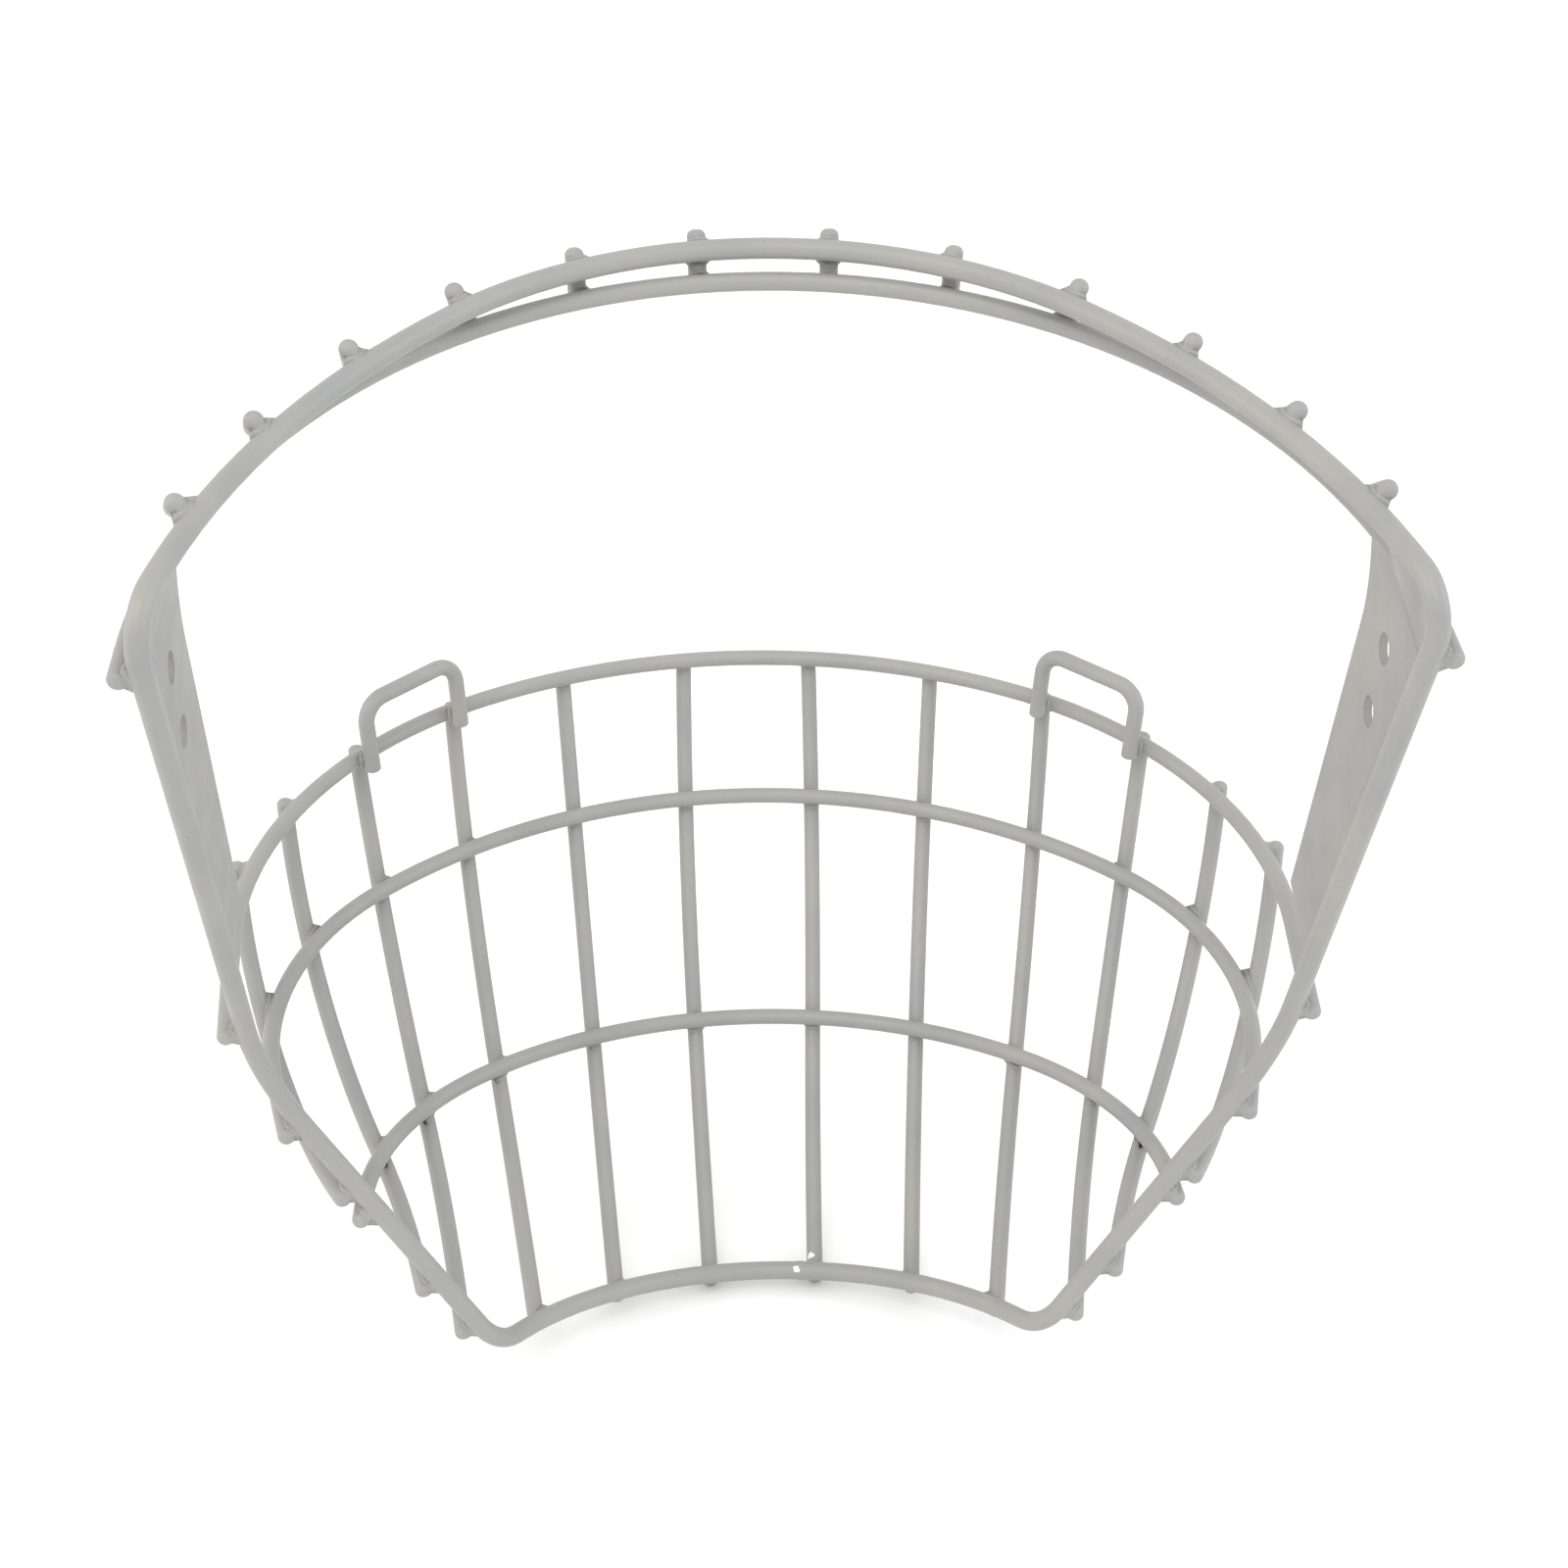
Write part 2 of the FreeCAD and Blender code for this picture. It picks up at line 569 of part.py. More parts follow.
def add_plate(side_name, side, temple, jaw):
    """Flat side plate with two screw holes, its rear edge welded to the perimeter wire."""
    name = "side_plate_" + side_name
    body = doc.addObject("PartDesign::Body", name)
    pad = body.newObject("PartDesign::Pad", name + "_sheet")
    pad.Profile = add_plate_outline(body, name)
    pad.setExpression("Length", "dims.plate_thick")
    body.Tip = pad
    holes = add_sketch(body, name + "_holes", "XY_Plane")
    for number, alias in enumerate(("plate_hole_low", "plate_hole_high")):
        centre = FreeCAD.Vector(size(alias), size(alias + "_front"), 0)
        holes.addGeometry(Part.Circle(centre, UP, size("plate_hole_dia") / 2))
        bind(holes, Sketcher.Constraint("Diameter", number, size("plate_hole_dia")),
             "dia%d" % number, "dims.plate_hole_dia")
        bind(holes, Sketcher.Constraint("DistanceX", -1, 1, number, 3, centre.x),
             "high%d" % number, "dims." + alias)
        bind(holes, Sketcher.Constraint("DistanceY", -1, 1, number, 3, centre.y),
             "front%d" % number, "dims.%s_front" % alias)
    doc.recompute()
    pocket = body.newObject("PartDesign::Pocket", name + "_drill")
    pocket.Profile = holes
    pocket.Type = "ThroughAll"
    pocket.Reversed = True
    body.Tip = pocket
    body.Placement = plate_placement(side, temple, jaw)
    body.Label = name
    return body


def plate_placement(side, temple, jaw):
    """Local Z points to the wearer's left, so the right plate's sketch lies on its outer face."""
    run = (temple - jaw).normalize()
    forward = FreeCAD.Vector(0, -1, 0)
    forward = (forward - run * forward.dot(run)).normalize()
    outwards = run.cross(forward)
    if outwards.x < 0:
        outwards = -outwards
    offset = size("plate_offset")
    if side < 0:
        offset += size("plate_thick")
    base = jaw + outwards * offset
    run, forward, base = [FreeCAD.Vector(v.x * side, v.y, v.z) for v in (run, forward, base)]
    return FreeCAD.Placement(base, FreeCAD.Rotation(run, forward, ORIGIN, "XYZ"))


# ---- the cage ---------------------------------------------------------------------------------------

def build():
    perimeter, temple, jaw = perimeter_axis()
    axes = {key: u_axis(key) for key in ("second", "rim", "middle", "lower")}
    axes["brow"] = perimeter
    axes["chin"] = [edge.reversed() for edge in reversed(perimeter)]
    parts = [add_perimeter(perimeter)]
    for name, key in (("brow_wire", "second"), ("rim_wire", "rim"),
                      ("middle_wire", "middle"), ("lower_wire", "lower")):
        parts.append(add_u_wire(name, key))
    for side_name, side in SIDES:
        for number in range(1, 7):
            parts.append(add_strut(number, side_name, side, axes))
            parts.append(add_bar(number, side_name, side, axes))
        parts.append(add_loop(side_name, side, axes["rim"]))
        parts.append(add_plate(side_name, side, temple, jaw))
    return parts


def write(parts):
    os.makedirs("parts", exist_ok=True)
    for feature in doc.Objects:
        if "Invalid" in feature.State or "Error" in feature.State:
            raise RuntimeError("feature %s did not build" % feature.Name)
    for part in parts:
        shape = part.Shape
        if shape.isNull() or not shape.isValid() or len(shape.Solids) != 1:
            raise RuntimeError("part %s is not one valid solid" % part.Label)
    for part in parts:
        part.Shape.exportStep("parts/%s.step" % part.Label)


sheet = make_sheet()
cage = build()
doc.recompute()
write(cage)
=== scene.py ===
import math
import random

import bmesh
import bpy
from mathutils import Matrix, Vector, noise
from mathutils.bvhtree import BVHTree


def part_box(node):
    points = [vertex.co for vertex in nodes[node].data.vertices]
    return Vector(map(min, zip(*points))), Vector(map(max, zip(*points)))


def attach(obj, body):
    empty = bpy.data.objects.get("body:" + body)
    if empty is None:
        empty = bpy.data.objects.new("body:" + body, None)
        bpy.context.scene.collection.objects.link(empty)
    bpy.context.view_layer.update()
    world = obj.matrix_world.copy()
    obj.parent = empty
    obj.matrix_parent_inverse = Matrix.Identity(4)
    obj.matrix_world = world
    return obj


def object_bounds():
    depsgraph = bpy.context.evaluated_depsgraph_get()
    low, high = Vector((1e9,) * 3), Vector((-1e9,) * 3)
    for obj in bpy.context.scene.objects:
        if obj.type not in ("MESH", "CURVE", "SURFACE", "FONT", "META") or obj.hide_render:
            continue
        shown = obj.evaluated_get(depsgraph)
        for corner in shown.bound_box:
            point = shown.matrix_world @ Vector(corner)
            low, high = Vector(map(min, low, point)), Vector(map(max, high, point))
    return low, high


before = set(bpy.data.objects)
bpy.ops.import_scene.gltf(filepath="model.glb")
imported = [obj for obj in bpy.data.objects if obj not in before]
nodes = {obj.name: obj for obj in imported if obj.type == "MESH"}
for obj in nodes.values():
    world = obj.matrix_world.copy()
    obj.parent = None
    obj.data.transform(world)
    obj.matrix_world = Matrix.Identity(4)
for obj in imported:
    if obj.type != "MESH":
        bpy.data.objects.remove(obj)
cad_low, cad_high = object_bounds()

# Looks of a welded, powder-coated wire cage for a goalkeeper's mask, in metres.
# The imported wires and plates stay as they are.  This script adds their coating, the weld fillets
# where wires cross, the beads and temple webs at the side plates, and the chin joint.

MM = 0.001
SIDES = (("left", 1), ("right", -1))
UP = Vector((0, 0, 1))
RUN = Vector((0, 0.387, 0.922))     # direction of the perimeter's side runs, upwards
REAR = Vector((0, 0.922, -0.387))   # square to them, backwards
PLATE_TOP = RUN + REAR * 1.5        # towards the rear end of a side plate's upper edge
WIRE_RADIUS = 1.9 * MM              # of the perimeter wire
NOISE_PLACES = 50                   # each weld takes its noise from its own place in this range

# weld fillets where wires cross
GRID_FILLET = 1.0 * MM              # radius where two grid wires cross
EDGE_FILLET = 1.45 * MM             # radius where a wire crosses the perimeter wire
FILLET_SPREAD = (0.85, 1.2)         # a weld's own size, as a share of that radius
FILLET_SECTIONS = 44                # sections round a crossing
ARC_STEPS = 8                       # faces across a fillet
SINK = 0.25 * MM                    # how deep a fillet's straight side ends in the wires
SKIN = 0.012 * MM                   # how deep its arc ends in them
WANDER = 0.16                       # how much a fillet's size changes on its way round
WANDER_RATE = 1.3
LUMP = 0.05 * MM                    # unevenness of a weld
LUMP_RATE = 2.6
LUMP_PLACE = UP * 9
FULL_WELD = 0.7                     # share of the sections below which a weld is reported
FEWEST_SECTIONS = 8                 # a weld with no more than this is left out

# search for contacts, and for the ball that rests on both wires
CONTACT_STEPS = 60
CONTACT_GAP = 0.5 * MM              # a wider gap is reported
BALL_STEPS = 14
BALL_STARTS = (2.4 * MM, 1.6 * MM)  # distances from the contact where the search begins
BALL_STRIDE = 0.8 * MM              # longest step
BALL_ERROR = 0.03 * MM
BALL_FAR = 9 * MM
ON_SURFACE = 1e-7                   # a centre this near a wire is pushed out by INSIDE_PUSH
INSIDE_PUSH = 0.3 * MM
FLAT_SLOPES = 1e-3                  # slopes this nearly parallel are left by SLOPE_PUSH
SLOPE_PUSH = 0.2 * MM

# bead along a side plate's rear edge
BEAD_RADIUS = 1.1 * MM
BEAD_STEP = 1.1 * MM
BEAD_TAPER = 5 * MM
BEAD_END = 0.4                      # share of the radius at the bead's very ends
BEAD_WANDER = 0.10
BEAD_WANDER_RATE = 260
BEAD_LUMP = 0.7 * LUMP
BEAD_LUMP_RATE = 420
FEWEST_BEAD_SECTIONS = 3
CORNER_REACH = 26 * MM              # the bead swells where the perimeter wire bends off the plate
CORNER_FILL = 1.3 * MM

# weld web between a plate's upper edge and the perimeter wire
WEB_CLIMB = 11 * MM                 # up the side run
WEB_AHEAD = 20 * MM                 # forward along the brow arc
WEB_TURN = 1.35                     # how late the forward part begins: 1 is at once
WEB_SHARE = 0.75                    # of the plate's upper edge that it covers
WEB_OVERLAP = 1.2 * MM              # below that edge
WEB_THICK = 0.8 * MM                # half of its thickness at its edges
WEB_THINNING = 0.35                 # share that it loses in its middle
WEB_ALONG = 18
WEB_ACROSS = 6
PLATE_FRONT = RUN - REAR * 0.12     # towards the front end of a plate's upper edge

# butt weld in the chin arc
JOINT_X = -7.3 * MM
JOINT_HALF_WIDTH = 1.4 * MM
JOINT_HEIGHT = 0.16 * MM
JOINT_SINK = 0.03 * MM
JOINT_CORE = 0.8                    # radius of its hidden side, as a share of the wire's
JOINT_AROUND = 40
JOINT_ALONG = 8
AXIS_SPAN = 1.6 * MM                # the axis is the middle of the vertices this near in X
AXIS_ARM = 4 * MM                   # its direction joins the points this far to each side

# colours and coating
WIRE_GREY = (0.292, 0.293, 0.282)
PLATE_GREY = (0.272, 0.270, 0.258)
# near-white colour of the painted highlights beside the chin joint
PAINTED_HIGHLIGHT_WHITE = (0.82, 0.82, 0.80)
WIRE_ROUGH = 0.46
PLATE_ROUGH = 0.50
COAT_WEIGHT = 0.12
COAT_ROUGH = 0.32
BUMP_STRENGTH = 0.5
BUMPS = ((700, 1, 0.05 * MM), (4200, 2, 0.012 * MM))    # scale, detail, height
# painted highlights: places from the lowest point of the bar beside the chin joint, and radii
PAINTED_HIGHLIGHT_SPOTS = ((Vector((0.9 * MM, -2.9 * MM, 4.8 * MM)), 0.85 * MM),
         (Vector((4.2 * MM, 2.7 * MM, 6.0 * MM)), 0.75 * MM))
PAINTED_HIGHLIGHT_NOISE = 1400
PAINTED_HIGHLIGHT_RAGGED = 1.6                   # noise added to the distance from its centre, in radii
PAINTED_HIGHLIGHT_EDGE = (1.85, 1.65)            # that sum where a painted highlight begins, and where it is full
SOFT_EDGE = 0.5 * MM                # rounding of the loops' cut ends

# camera, floor and lights
CAMERA_PLACE = (0.022654, 0.409802, 0.244720)
CAMERA_TURNS = (60.00605, -0.70007, 176.72676)
FLOOR_HALF = 4.0
FLOOR_DROP = 0.05 * MM
ROOM_STRENGTH = 1.06
LIGHTS = (("key", (0.35, 0.9, 1.3), 1.0, 7.5, (1.0, 0.985, 0.96)),
          ("fill_left", (1.2, 0.2, 0.6), 0.9, 4.5, (1.0, 0.94, 0.86)),
          ("fill_right", (-1.2, 0.3, 0.6), 0.9, 5.0, (0.84, 0.93, 1.0)))

random.seed(11)


# ---- finding where pieces touch ------------------------------------------------------------

trees = {}


def tree(name):
    if name not in trees:
        mesh = nodes[name].data
        trees[name] = BVHTree.FromPolygons([v.co for v in mesh.vertices],
                                           [p.vertices for p in mesh.polygons])
    return trees[name]


def extreme(name, direction, keep=lambda co: True):
    """The node's vertex that lies furthest along a direction."""
    found = [v.co for v in nodes[name].data.vertices if keep(v.co)]
    return max(found, key=lambda co: co.dot(direction)).copy()


def contact(a, b, start):
    """Middle between the nearest surface points of two nodes, and the direction across it."""
    point = Vector(start)
    for _ in range(CONTACT_STEPS):
        on_a, normal_a, _, _ = tree(a).find_nearest(point)
        on_b, normal_b, _, _ = tree(b).find_nearest(on_a)
        point = on_b
    if (on_a - on_b).length > CONTACT_GAP:
        print("no contact between", a, "and", b, (on_a - on_b).length / MM)
    return (on_a + on_b) / 2, (normal_a - normal_b).normalized()


def shared_middle(a, b):
    """Middle of the space that the boxes of two nodes share."""
    low_a, high_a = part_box(a)
    low_b, high_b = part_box(b)
    low = [max(p, q) for p, q in zip(low_a, low_b)]
    high = [min(p, q) for p, q in zip(high_a, high_b)]
    return (Vector(low) + Vector(high)) / 2


def rest_ball(a, b, middle, outward, normal, radius, start):
    """Centre of a ball that rests on both nodes, in the plane of two directions."""
    along, across = start, 0.0
    for _ in range(BALL_STEPS):
        centre = middle + outward * along + normal * across
        on_a, _, _, gap_a = tree(a).find_nearest(centre)
        on_b, _, _, gap_b = tree(b).find_nearest(centre)
        if gap_a < ON_SURFACE or gap_b < ON_SURFACE:
            along += INSIDE_PUSH
            continue
        slope_a, slope_b = (centre - on_a) / gap_a, (centre - on_b) / gap_b
        m = (slope_a.dot(outward), slope_a.dot(normal),
             slope_b.dot(outward), slope_b.dot(normal))
        size = m[0] * m[3] - m[1] * m[2]
        if abs(size) < FLAT_SLOPES:
            along += SLOPE_PUSH
            continue
        need_a, need_b = radius - gap_a, radius - gap_b
        step = Vector(((m[3] * need_a - m[1] * need_b) / size,
                       (m[0] * need_b - m[2] * need_a) / size))
        if step.length > BALL_STRIDE:
            step *= BALL_STRIDE / step.length
        along += step.x
        across += step.y
    error = max(abs(gap_a - radius), abs(gap_b - radius))
    good = error < BALL_ERROR and 0 < along < BALL_FAR
    return (centre, on_a, on_b) if good else None


# ---- meshes --------------------------------------------------------------------------------

def section(ball, radius, lump):
    """Closed profile of a fillet: the arc that the ball touches, then a straight side.

    The straight side ends inside the nodes.  Where the two spokes are more than about 60 to 70
    degrees apart, which is at most crossings, it lies in front of the arc and is what shows.
    """
    centre, on_a, on_b = ball
    spoke_a, spoke_b = (on_a - centre).normalized(), (on_b - centre).normalized()
    opposite = spoke_a.dot(spoke_b) <= -0.999
    points = []
    for step in range(ARC_STEPS + 1):
        part = step / ARC_STEPS
        spoke = spoke_a if opposite else spoke_a.slerp(spoke_b, part)
        swell = lump * math.sin(math.pi * part)
        points.append(centre + spoke * (radius + SKIN - swell))
    points.append(on_b + spoke_b * SINK)
    points.append(on_a + spoke_a * SINK)
    return points


def join_rows(mesh, row, following):
    """One band of faces between two closed rows of vertices."""
    for j in range(len(row)):
        k = (j + 1) % len(row)
        mesh.faces.new((row[j], row[k], following[k], following[j])).smooth = True


def close_ends(mesh, rows):
    mesh.faces.new(list(reversed(rows[0])))
    mesh.faces.new(rows[-1])


def skin(mesh, sections, closed):
    """Fillet through a row of sections, with its edges against the wires kept sharp."""
    rows = [[mesh.verts.new(p) for p in points] for points in sections]
    for i in range(len(rows) if closed else len(rows) - 1):
        row, following = rows[i], rows[(i + 1) % len(rows)]
        join_rows(mesh, row, following)
        for j in (0, ARC_STEPS):
            mesh.edges.get((row[j], following[j])).smooth = False
    if not closed:
        close_ends(mesh, rows)


def add_piece(built, name, material):
    """Turns a finished bmesh into a named piece of the cage."""
    bmesh.ops.recalc_face_normals(built, faces=built.faces)
    mesh = bpy.data.meshes.new(name)
    built.to_mesh(mesh)
    built.free()
    piece = bpy.data.objects.new(name, mesh)
    bpy.context.scene.collection.objects.link(piece)
    mesh.materials.append(material)
    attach(piece, "root")


def noise_place():
    return Vector((random.uniform(0, NOISE_PLACES), 0, 0))


def weld_crossing(mesh, a, b, start, radius):
    """Fillet all round the spot where two wires cross."""
    middle, normal = contact(a, b, start)
    first = normal.orthogonal().normalized()
    second = normal.cross(first)
    own = radius * random.uniform(*FILLET_SPREAD)
    seed = noise_place()
    sections = []
    for i in range(FILLET_SECTIONS):
        angle = 2 * math.pi * i / FILLET_SECTIONS
        outward = first * math.cos(angle) + second * math.sin(angle)
        size = own * (1 + WANDER * noise.noise(seed + outward * WANDER_RATE))
        ball = None
        for reach in BALL_STARTS:
            ball = ball or rest_ball(a, b, middle, outward, normal, size, reach)
        if ball:
            lump = LUMP * noise.noise(seed + outward * LUMP_RATE + LUMP_PLACE)
            sections.append(section(ball, size, lump))
    if len(sections) < FILLET_SECTIONS * FULL_WELD:
        print("thin fillet between", a, "and", b, len(sections))
    if len(sections) > FEWEST_SECTIONS:
        skin(mesh, sections, True)


def bead_size(done, length, seed):
    """Radius of a plate's bead at a distance from its lower end."""
    taper = min(1, BEAD_END + (1 - BEAD_END) * min(done, length - done) / BEAD_TAPER)
    corner = max(0, 1 - (length - done) / CORNER_REACH)
    wander = 1 + BEAD_WANDER * noise.noise(seed + UP * done * BEAD_WANDER_RATE)
    return BEAD_RADIUS * taper * wander + CORNER_FILL * corner * (1 - corner) * 4


def weld_edge(mesh, plate, side):
    """Bead between a plate's rear edge and the perimeter wire, on the face towards a side."""
    low = extreme(plate, REAR - RUN)
    high = extreme(plate, PLATE_TOP)
    run = (high - low).normalized()
    across = Vector((side, 0, 0))
    forward = -run.cross(Vector((1, 0, 0))).normalized()
    if forward.y > 0:
        forward = -forward
    length = (high - low).length
    seed = noise_place()
    strips = [[]]
    count = int(length / BEAD_STEP)
    for i in range(count + 1):
        done = length * i / count
        edge = low + run * done
        middle = (edge + tree("perimeter_wire").find_nearest(edge)[0]) / 2
        size = bead_size(done, length, seed)
        start = 1.2 * size + 0.6 * MM
        ball = rest_ball("perimeter_wire", plate, middle, across, forward, size, start)
        if ball:
            lump = BEAD_LUMP * noise.noise(seed + UP * done * BEAD_LUMP_RATE)
            strips[-1].append(section(ball, size, lump))
        else:
            strips.append([])
    for strip in strips:
        if len(strip) > FEWEST_BEAD_SECTIONS:
            skin(mesh, strip, False)


# ---- materials -----------------------------------------------------------------------------

class Coating:
    """Node material of a semi-matte powder coat, with the nodes that it is built from."""

    def __init__(self, name):
        self.material = bpy.data.materials.new(name)
        self.material.use_nodes = True
        self.nodes = self.material.node_tree.nodes
        self.link = self.material.node_tree.links.new
        self.shader = self.nodes["Principled BSDF"]
        self.where = self.nodes.new("ShaderNodeTexCoord").outputs["Object"]

    def mottle(self, scale, detail, roughness=0.5):
        texture = self.nodes.new("ShaderNodeTexNoise")
        texture.inputs["Scale"].default_value = scale
        texture.inputs["Detail"].default_value = detail
        texture.inputs["Roughness"].default_value = roughness
        self.link(self.where, texture.inputs["Vector"])
        return texture.outputs["Fac"]

    def spread(self, value, low, high, to_low=0.0, to_high=1.0):
        ramp = self.nodes.new("ShaderNodeMapRange")
        for key, number in (("From Min", low), ("From Max", high),
                            ("To Min", to_low), ("To Max", to_high)):
            ramp.inputs[key].default_value = number
        self.link(value, ramp.inputs["Value"])
        return ramp.outputs["Result"]

    def mix(self, factor, first, second):
        blend = self.nodes.new("ShaderNodeMix")
        blend.data_type = "RGBA"
        self.link(factor, blend.inputs["Factor"])
        for socket, value in ((blend.inputs["A"], first), (blend.inputs["B"], second)):
            if isinstance(value, tuple):
                socket.default_value = (*value, 1)
            else:
                self.link(value, socket)
        return blend.outputs["Result"]

    def painted_highlight(self, centre, radius):
        """Painted highlight: a spot with ragged edges, 1 round a point where the coat is painted
        near white.
        """
        warp = self.nodes.new("ShaderNodeTexNoise")
        warp.inputs["Scale"].default_value = PAINTED_HIGHLIGHT_NOISE
        self.link(self.where, warp.inputs["Vector"])
        away = self.nodes.new("ShaderNodeVectorMath")
        away.operation = "DISTANCE"
        self.link(self.where, away.inputs[0])
        away.inputs[1].default_value = centre
        ragged = self.nodes.new("ShaderNodeMath")
        ragged.operation = "MULTIPLY_ADD"
        self.link(warp.outputs["Fac"], ragged.inputs[0])
        ragged.inputs[1].default_value = radius * PAINTED_HIGHLIGHT_RAGGED
        self.link(away.outputs["Value"], ragged.inputs[2])
        return self.spread(ragged.outputs["Value"], *(radius * edge for edge in PAINTED_HIGHLIGHT_EDGE))

    def relief(self):
        """Orange peel and fine grain."""
        bump = None
        for scale, detail, distance in BUMPS:
            layer = self.nodes.new("ShaderNodeBump")
            layer.inputs["Strength"].default_value = BUMP_STRENGTH
            layer.inputs["Distance"].default_value = distance
            self.link(self.mottle(scale, detail), layer.inputs["Height"])
            if bump:
                self.link(bump, layer.inputs["Normal"])
            bump = layer.outputs["Normal"]
        return bump


def powder_coat(name, colour, rough, painted_highlights=()):
    """Powder coat with faint clouds, light and dark specks, and bright spots of painted highlight.
    """
    coat = Coating(name)

    def shade(by, tint=(1, 1, 1)):
        return tuple(c * by * t for c, t in zip(colour, tint))

    cool, warm = shade(0.95, (1, 1, 1.02)), shade(1.04, (1.02, 1, 0.97))
    base = coat.mix(coat.spread(coat.mottle(55, 3), 0.35, 0.65), cool, warm)
    base = coat.mix(coat.spread(coat.mottle(3200, 2), 0.62, 0.8), base, shade(1.16))
    base = coat.mix(coat.spread(coat.mottle(1500, 2), 0.66, 0.78), base, shade(0.80))
    # near-white spots painted into the colour as highlights
    for centre, radius in painted_highlights:
        base = coat.mix(coat.painted_highlight(centre, radius), base, PAINTED_HIGHLIGHT_WHITE)
    coat.link(base, coat.shader.inputs["Base Color"])
    worn = coat.spread(coat.mottle(140, 4, 0.6), 0.3, 0.7, rough - 0.07, rough + 0.08)
    coat.link(worn, coat.shader.inputs["Roughness"])
    coat.shader.inputs["Coat Weight"].default_value = COAT_WEIGHT
    coat.shader.inputs["Coat Roughness"].default_value = COAT_ROUGH
    coat.link(coat.relief(), coat.shader.inputs["Normal"])
    return coat.material


# ---- the camera and the studio -------------------------------------------------------------

def place_camera():
    camera = bpy.data.objects.new("camera", bpy.data.cameras.new("camera"))
    bpy.context.scene.collection.objects.link(camera)
    camera.location = CAMERA_PLACE
    camera.rotation_euler = [math.radians(turn) for turn in CAMERA_TURNS]
    camera.data.lens = 56.25
    camera.data.sensor_width = 36
    camera.data.clip_start = 0.01
    bpy.context.scene.camera = camera
    bpy.context.scene.view_settings.view_transform = "Standard"


def floor_paper():
    material = bpy.data.materials.new("floor_paper")
    material.use_nodes = True
    tree_nodes, links = material.node_tree.nodes, material.node_tree.links
    shader = tree_nodes["Principled BSDF"]
    paper = tree_nodes.new("ShaderNodeTexNoise")
    paper.inputs["Scale"].default_value = 9
    tone = tree_nodes.new("ShaderNodeMapRange")
    tone.inputs["To Min"].default_value = 0.90
    tone.inputs["To Max"].default_value = 0.92
    links.new(paper.outputs["Fac"], tone.inputs["Value"])
    links.new(tone.outputs["Result"], shader.inputs["Base Color"])
    shader.inputs["Roughness"].default_value = 0.9
    shader.inputs["Specular IOR Level"].default_value = 0.2
    return material


def studio():
    """Plain white floor under the cage, an even white room and three large soft lights."""
    middle = (cad_low + cad_high) / 2
    level = cad_low.z - FLOOR_DROP
    mesh = bpy.data.meshes.new("floor")
    corners = [(middle.x + x * FLOOR_HALF, middle.y + y * FLOOR_HALF, level)
               for x, y in ((-1, -1), (1, -1), (1, 1), (-1, 1))]
    mesh.from_pydata(corners, [], [(0, 1, 2, 3)])
    floor = bpy.data.objects.new("floor", mesh)
    bpy.context.scene.collection.objects.link(floor)
    mesh.materials.append(floor_paper())

    world = bpy.data.worlds.new("room")
    world.use_nodes = True
    room = world.node_tree.nodes["Background"]
    room.inputs["Color"].default_value = (1, 1, 1, 1)
    room.inputs["Strength"].default_value = ROOM_STRENGTH
    bpy.context.scene.world = world

    for name, spot, size, power, colour in LIGHTS:
        data = bpy.data.lights.new(name, "AREA")
        data.size = size
        data.energy = power
        data.color = colour
        light = bpy.data.objects.new(name, data)
        light.location = middle + Vector(spot)
        light.rotation_euler = (-Vector(spot)).to_track_quat("-Z", "Y").to_euler()
        bpy.context.scene.collection.objects.link(light)


place_camera()
studio()


# ---- coating the wires and plates ----------------------------------------------------------

# painted highlights: near-white spots in the coat of the perimeter wire and the bar beside the
# chin joint
highlight_bar = extreme("grid_bar_right_1", -UP)
wire_coat = powder_coat("wire_coat", WIRE_GREY, WIRE_ROUGH)
chin_coat_painted_highlight = powder_coat("chin_coat_painted_highlight", WIRE_GREY, WIRE_ROUGH,
                        painted_highlights=[(highlight_bar + offset, radius) for offset, radius in PAINTED_HIGHLIGHT_SPOTS])
plate_coat = powder_coat("plate_coat", PLATE_GREY, PLATE_ROUGH)


def recoat(name, material):
    slots = nodes[name].data.materials
    if not slots:
        slots.append(material)
    for index in range(len(slots)):
        slots[index] = material


def soften(name, width):
    """Rounds the cut edges of a node as the coating does."""
    node = nodes[name]
    weld = node.modifiers.new("join", "WELD")
    weld.merge_threshold = 0.001 * MM
    flat = node.modifiers.new("flat_faces", "DECIMATE")
    flat.decimate_type = "DISSOLVE"
    flat.angle_limit = math.radians(0.5)
    bevel = node.modifiers.new("soft_edges", "BEVEL")
    bevel.width = width
    bevel.segments = 3
    bevel.limit_method = "ANGLE"
    bevel.angle_limit = math.radians(40)
    node.modifiers.new("even_shading", "WEIGHTED_NORMAL")


for name in nodes:
    if name.startswith("side_plate"):
        recoat(name, plate_coat)
    elif name in ("perimeter_wire", "grid_bar_right_1"):
        recoat(name, chin_coat_painted_highlight)
    else:
        recoat(name, wire_coat)
    if name.startswith("loop"):
        soften(name, SOFT_EDGE)


# ---- welds ---------------------------------------------------------------------------------

def bar_crossing(bar, wire):
    """Point from which the search for a bar's contact with a wire begins."""
    if wire == "rim_wire":
        return extreme(bar, UP)
    if wire == "perimeter_wire":
        return extreme(bar, -UP)
    return shared_middle(bar, wire)


def weld_bars():
    """Fillets where the grid bars cross the rim, middle, lower and perimeter wires."""
    for wire, last, radius in (("rim_wire", 6, GRID_FILLET), ("middle_wire", 6, GRID_FILLET),
                               ("lower_wire", 5, GRID_FILLET),
                               ("perimeter_wire", 6, EDGE_FILLET)):
        mesh = bmesh.new()
        for side_name, _ in SIDES:
            for number in range(1, last + 1):
                bar = "grid_bar_%s_%d" % (side_name, number)
                weld_crossing(mesh, wire, bar, bar_crossing(bar, wire), radius)
        add_piece(mesh, "bar_welds_" + wire.split("_")[0], wire_coat)


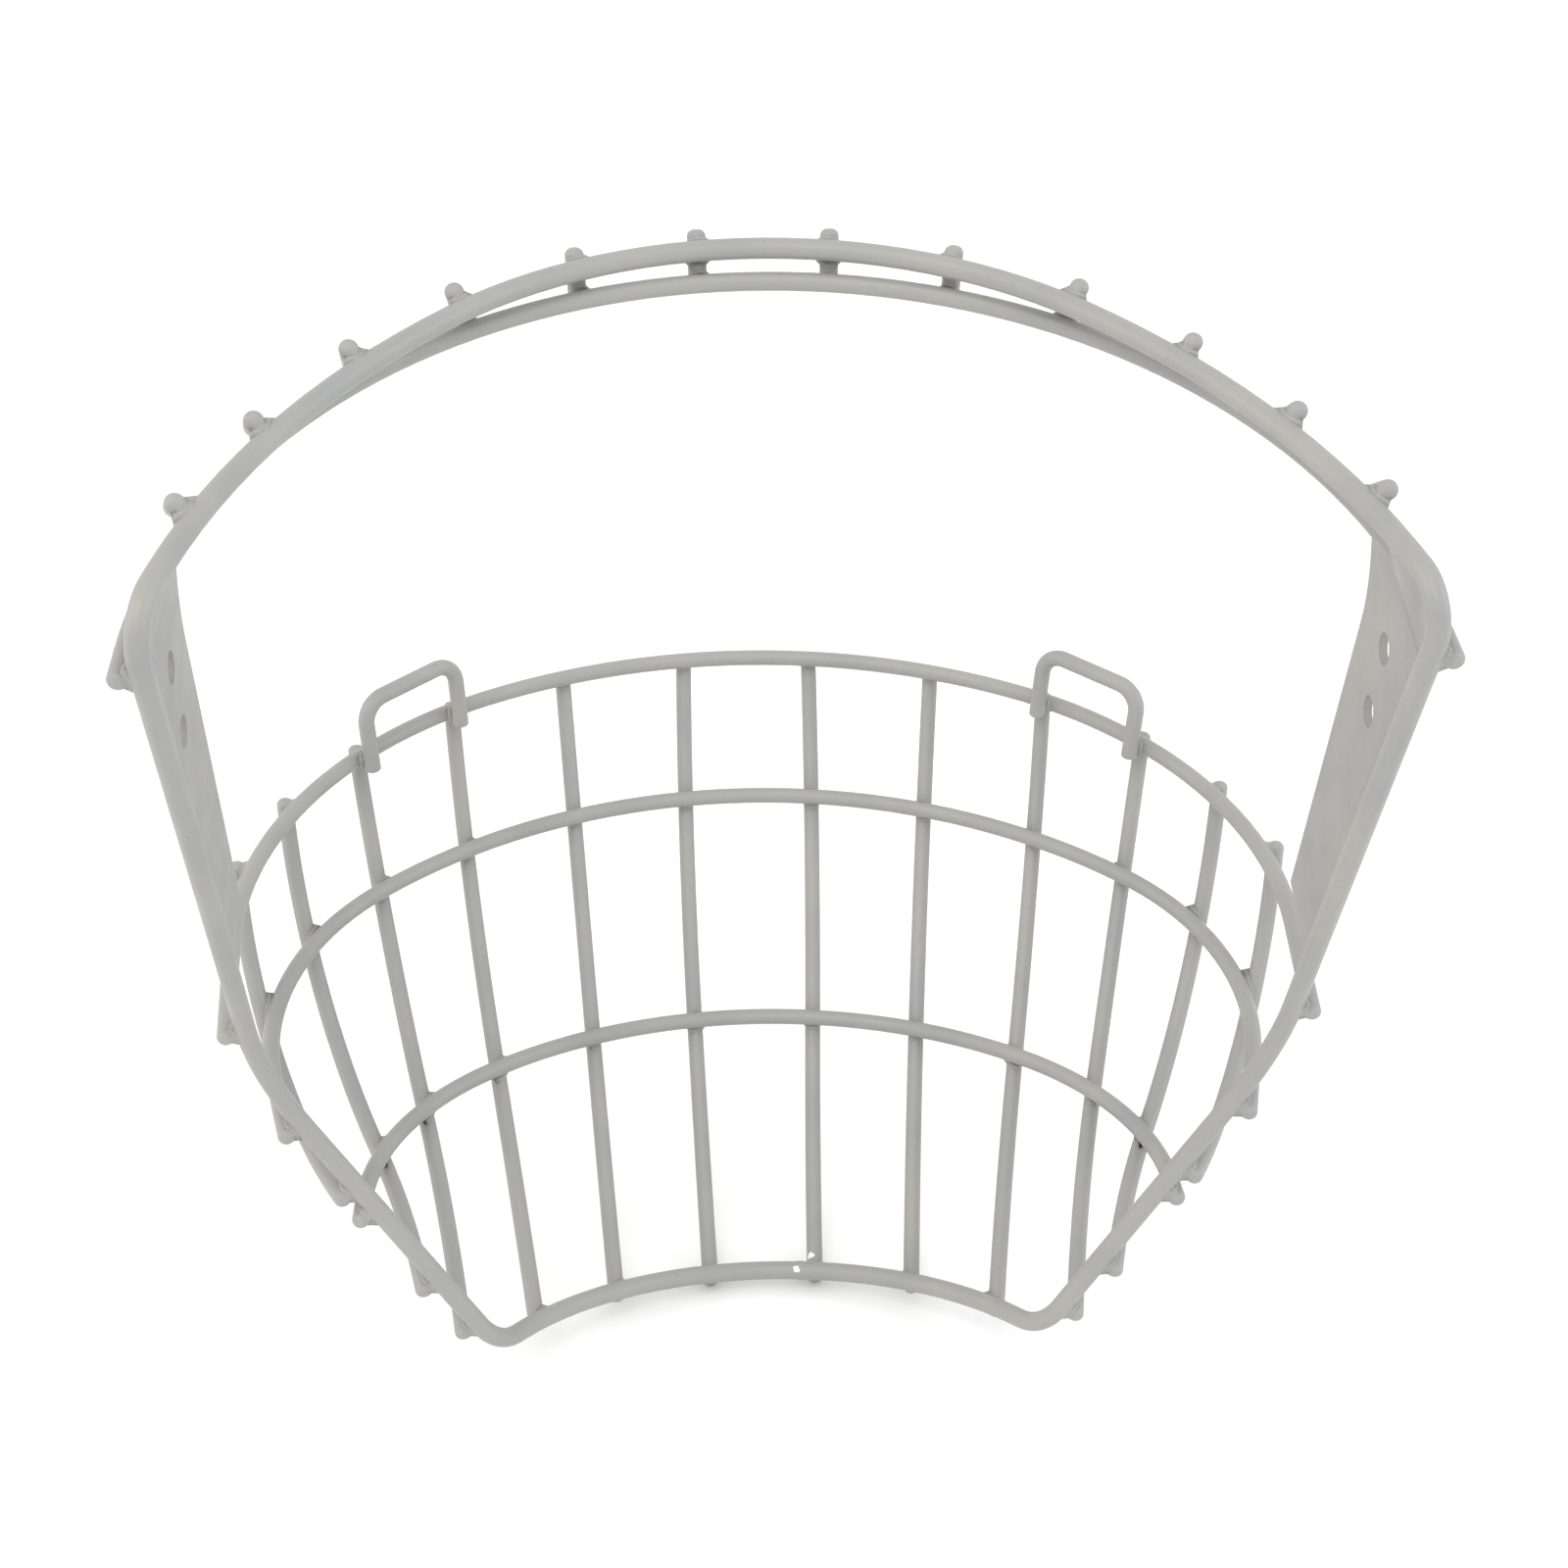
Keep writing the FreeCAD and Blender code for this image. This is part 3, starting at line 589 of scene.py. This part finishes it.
def weld_struts():
    """Fillets where the short struts cross the brow arc and the brow wire."""
    for wire, direction, radius in (("perimeter_wire", UP + REAR, EDGE_FILLET),
                                    ("brow_wire", -UP - REAR, GRID_FILLET)):
        mesh = bmesh.new()
        for side_name, _ in SIDES:
            for number in range(1, 7):
                strut = "brow_strut_%s_%d" % (side_name, number)
                weld_crossing(mesh, wire, strut, extreme(strut, direction), radius)
        add_piece(mesh, "strut_welds_" + wire.split("_")[0], wire_coat)


def weld_legs():
    """Fillets where the U-shaped wires' ends cross the perimeter wire."""
    mesh = bmesh.new()
    for wire in ("brow_wire", "rim_wire", "middle_wire", "lower_wire"):
        for _, side in SIDES:
            end = extreme(wire, Vector((0.1 * side, 1, 0)), lambda co: co.x * side > 0)
            weld_crossing(mesh, "perimeter_wire", wire, end, EDGE_FILLET)
    add_piece(mesh, "leg_welds", wire_coat)


def weld_loops():
    """Fillets at the feet of the two loops."""
    mesh = bmesh.new()
    for side_name, side in SIDES:
        loop = "loop_" + side_name
        for leg in (-1, 1):
            foot = extreme(loop, Vector((leg * 0.7, leg * side * 0.7, -2)))
            weld_crossing(mesh, "rim_wire", loop, foot, GRID_FILLET)
    add_piece(mesh, "loop_welds", wire_coat)


def weld_plates():
    """Beads along the inner and the outer face of each side plate's rear edge."""
    for side_name, side in SIDES:
        mesh = bmesh.new()
        for face in (-side, side):
            weld_edge(mesh, "side_plate_" + side_name, face)
        add_piece(mesh, "plate_bead_" + side_name, wire_coat)


def wire_axis(guess):
    """Point on the perimeter wire's axis nearest to a guess."""
    spot, normal, _, _ = tree("perimeter_wire").find_nearest(guess)
    return spot - normal * WIRE_RADIUS


def web_row(mesh, side, on_plate, on_wire):
    """Closed row of a web's vertices: its inner face, then its outer face back again."""
    inner, outer = [], []
    for j in range(WEB_ACROSS + 1):
        across = j / WEB_ACROSS
        thick = WEB_THICK * (1 - WEB_THINNING * math.sin(math.pi * across))
        spot = on_plate.lerp(on_wire, across)
        inner.append(mesh.verts.new(spot + Vector((-side * thick, 0, 0))))
        outer.append((spot, thick))
    return inner + [mesh.verts.new(spot + Vector((side * thick, 0, 0)))
                    for spot, thick in reversed(outer)]


def weld_temples():
    """Webs that fill the corner between a plate's upper edge and the bent perimeter wire."""
    for side_name, side in SIDES:
        plate = "side_plate_" + side_name
        rear = extreme(plate, PLATE_TOP)
        front = extreme(plate, PLATE_FRONT)
        low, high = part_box(plate)
        rear.x = front.x = (low.x + high.x) / 2
        mesh = bmesh.new()
        rows = []
        for i in range(WEB_ALONG + 1):
            part = i / WEB_ALONG
            climb = WEB_CLIMB * math.sin(math.pi / 2 * min(1, part * 2))
            ahead = WEB_AHEAD * max(0, part * WEB_TURN - (WEB_TURN - 1))
            on_wire = wire_axis(rear + RUN * climb - REAR * ahead)
            on_plate = rear.lerp(front, part * WEB_SHARE) - RUN * WEB_OVERLAP
            rows.append(web_row(mesh, side, on_plate, on_wire))
        for row, following in zip(rows, rows[1:]):
            join_rows(mesh, row, following)
        close_ends(mesh, rows)
        add_piece(mesh, "temple_web_" + side_name, plate_coat)


def chin_axis(x):
    """Point on the axis of the chin arc at a given X."""
    ring = [v.co for v in nodes["perimeter_wire"].data.vertices
            if abs(v.co.x - x) < AXIS_SPAN and v.co.z < 0]
    return sum(ring, Vector()) / len(ring)


def chin_joint():
    """Dressed butt weld where the perimeter wire's two ends meet, a little off the middle."""
    middle = chin_axis(JOINT_X)
    along = (chin_axis(JOINT_X + AXIS_ARM) - chin_axis(JOINT_X - AXIS_ARM)).normalized()
    first = along.orthogonal().normalized()
    second = along.cross(first)
    mesh = bmesh.new()
    rows = []
    for i in range(JOINT_AROUND):
        angle = 2 * math.pi * i / JOINT_AROUND
        spoke = first * math.cos(angle) + second * math.sin(angle)
        width = JOINT_HALF_WIDTH * (1 + 0.2 * noise.noise(spoke * 1.2 - UP * 5))
        row = []
        for j in range(JOINT_ALONG + 1):
            part = 2 * j / JOINT_ALONG - 1
            ragged = 1 + 0.25 * noise.noise(spoke * 1.7 + UP * part)
            height = JOINT_HEIGHT * math.cos(part * math.pi / 2) ** 2 * ragged
            out = spoke * (WIRE_RADIUS - JOINT_SINK + height)
            row.append(mesh.verts.new(middle + along * part * width + out))
        for end in (1, -1):
            core = spoke * WIRE_RADIUS * JOINT_CORE
            row.append(mesh.verts.new(middle + along * end * JOINT_HALF_WIDTH + core))
        rows.append(row)
    for i, row in enumerate(rows):
        join_rows(mesh, row, rows[(i + 1) % len(rows)])
    add_piece(mesh, "chin_joint", chin_coat_painted_highlight)


weld_bars()
weld_struts()
weld_plates()
weld_temples()
chin_joint()
weld_legs()
weld_loops()
